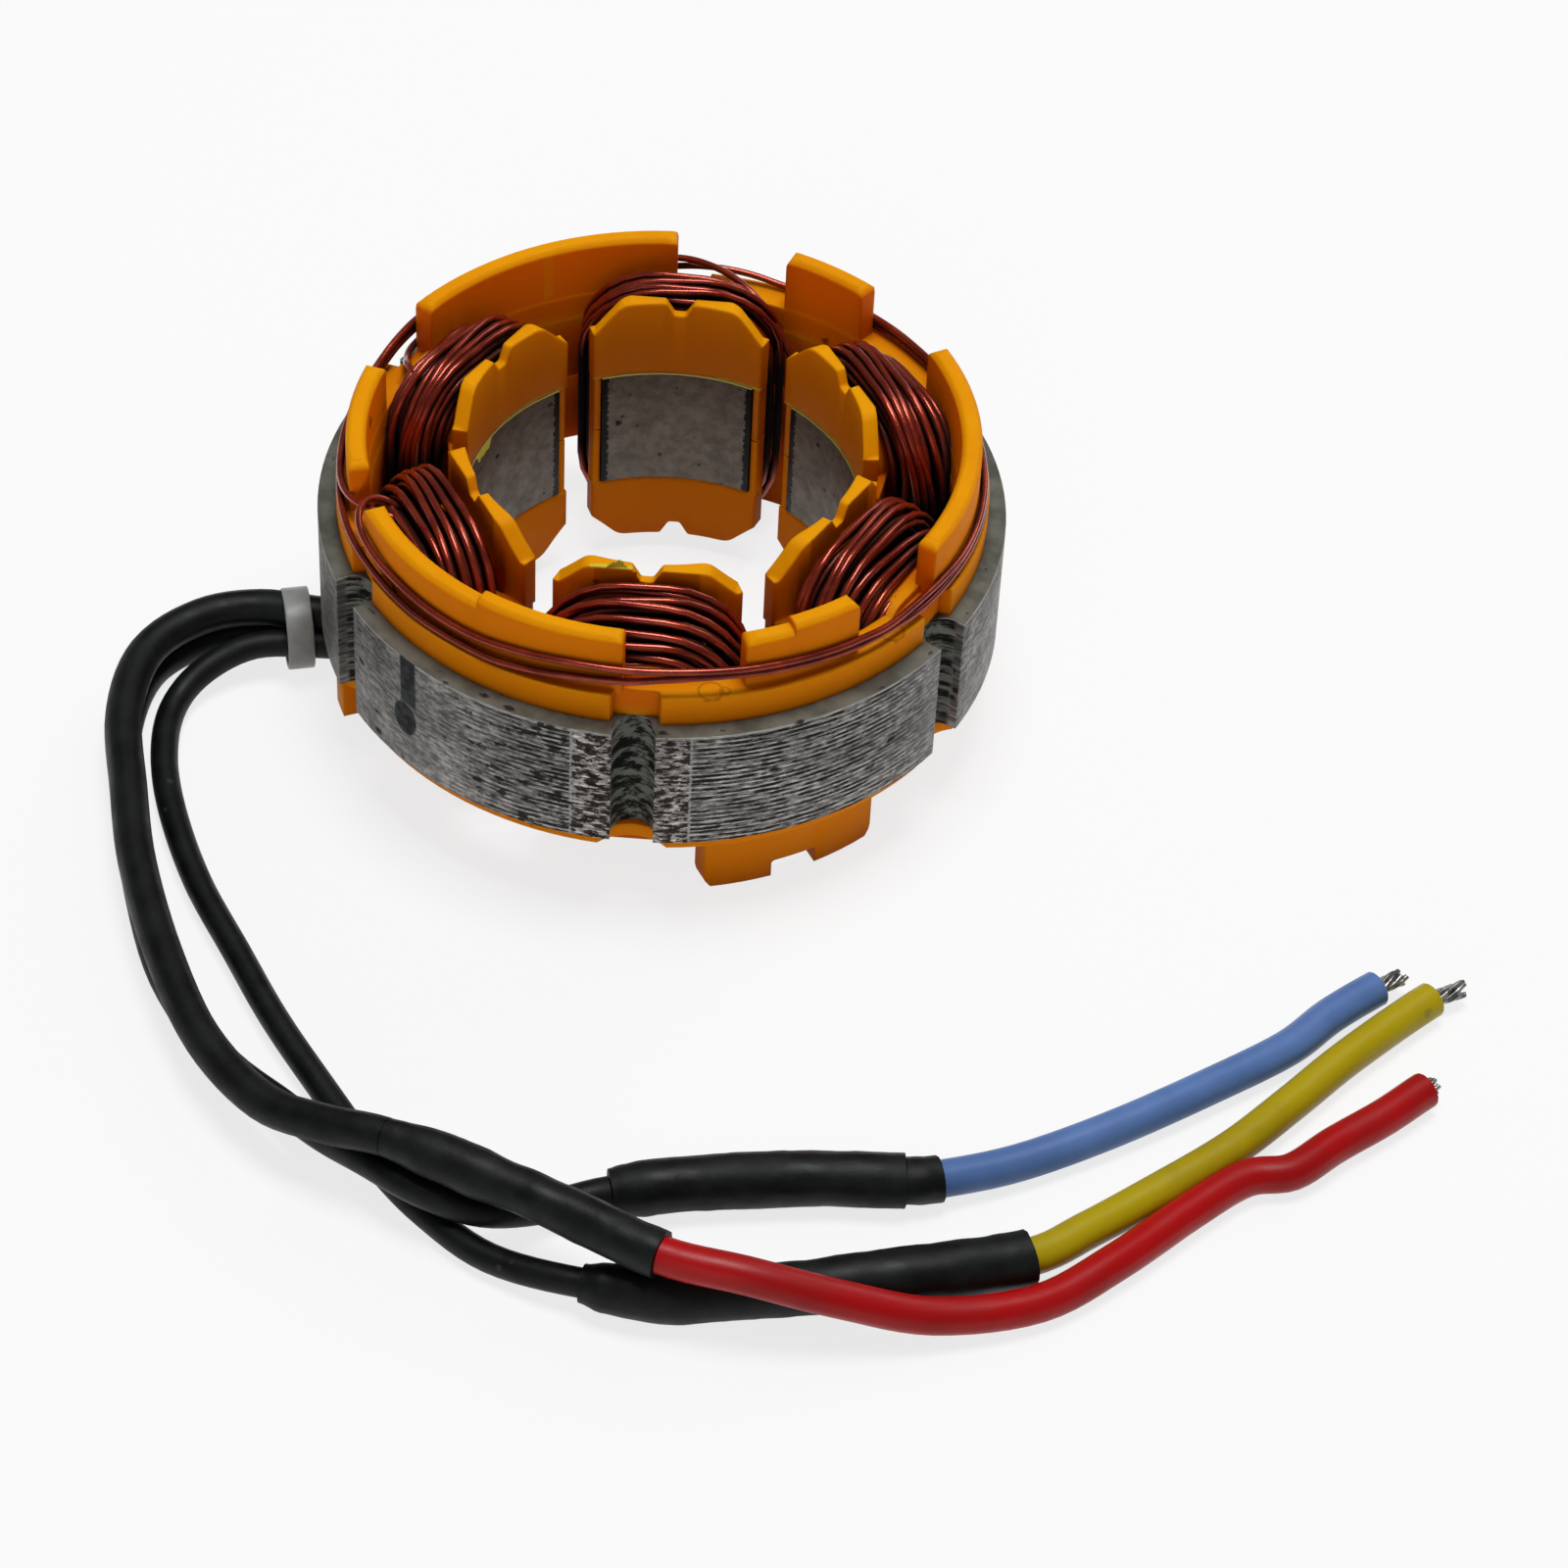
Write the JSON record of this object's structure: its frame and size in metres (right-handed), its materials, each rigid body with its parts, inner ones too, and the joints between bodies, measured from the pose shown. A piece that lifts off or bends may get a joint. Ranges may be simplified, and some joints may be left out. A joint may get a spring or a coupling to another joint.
{
  "type": "wound motor stator",
  "caption": "Wound stator of a small brushless motor: laminated steel core with orange insulators, enamelled copper coils on its teeth and sleeved leads in three colours.",
  "frame": {"origin": "on the bore axis, at the level of the surface that the lower insulator's feet stand on", "axes": "+Z along the bore axis towards the end with the tall walls and the link wires, -Y to the side seen in front, the leads leave on the -X side"},
  "size_m": [0.0872, 0.0786, 0.0215],
  "materials": {
    "core_steel": "matte rolled edges of the stacked sheets, stained brown in places",
    "orange_plastic": "satin moulded",
    "enamelled_wire": "glossy red-brown enamel on copper",
    "black_sleeve": "satin",
    "tie_plastic": "milky, half clear",
    "red_lead": "satin",
    "yellow_lead": "satin",
    "blue_lead": "satin",
    "tinned_strands": "bright tinned copper"
  },
  "bodies": {
    "root": {"laminated_core": "core_steel", "top_insulator": "orange_plastic", "bottom_insulator": "orange_plastic", "coil_1": "enamelled_wire", "coil_2": "enamelled_wire", "coil_3": "enamelled_wire", "coil_4": "enamelled_wire", "coil_5": "enamelled_wire", "coil_6": "enamelled_wire", "link_wire_1": "enamelled_wire", "link_wire_2": "enamelled_wire", "link_wire_3": "enamelled_wire", "cable_tie": "tie_plastic", "red_sleeve": "black_sleeve", "red_splice": "black_sleeve", "red_lead": "red_lead", "red_strands": "tinned_strands", "yellow_sleeve": "black_sleeve", "yellow_splice": "black_sleeve", "yellow_lead": "yellow_lead", "yellow_strands": "tinned_strands", "blue_sleeve": "black_sleeve", "blue_splice": "black_sleeve", "blue_collar": "black_sleeve", "blue_lead": "blue_lead", "blue_strands": "tinned_strands"}
  },
  "joints": []
}
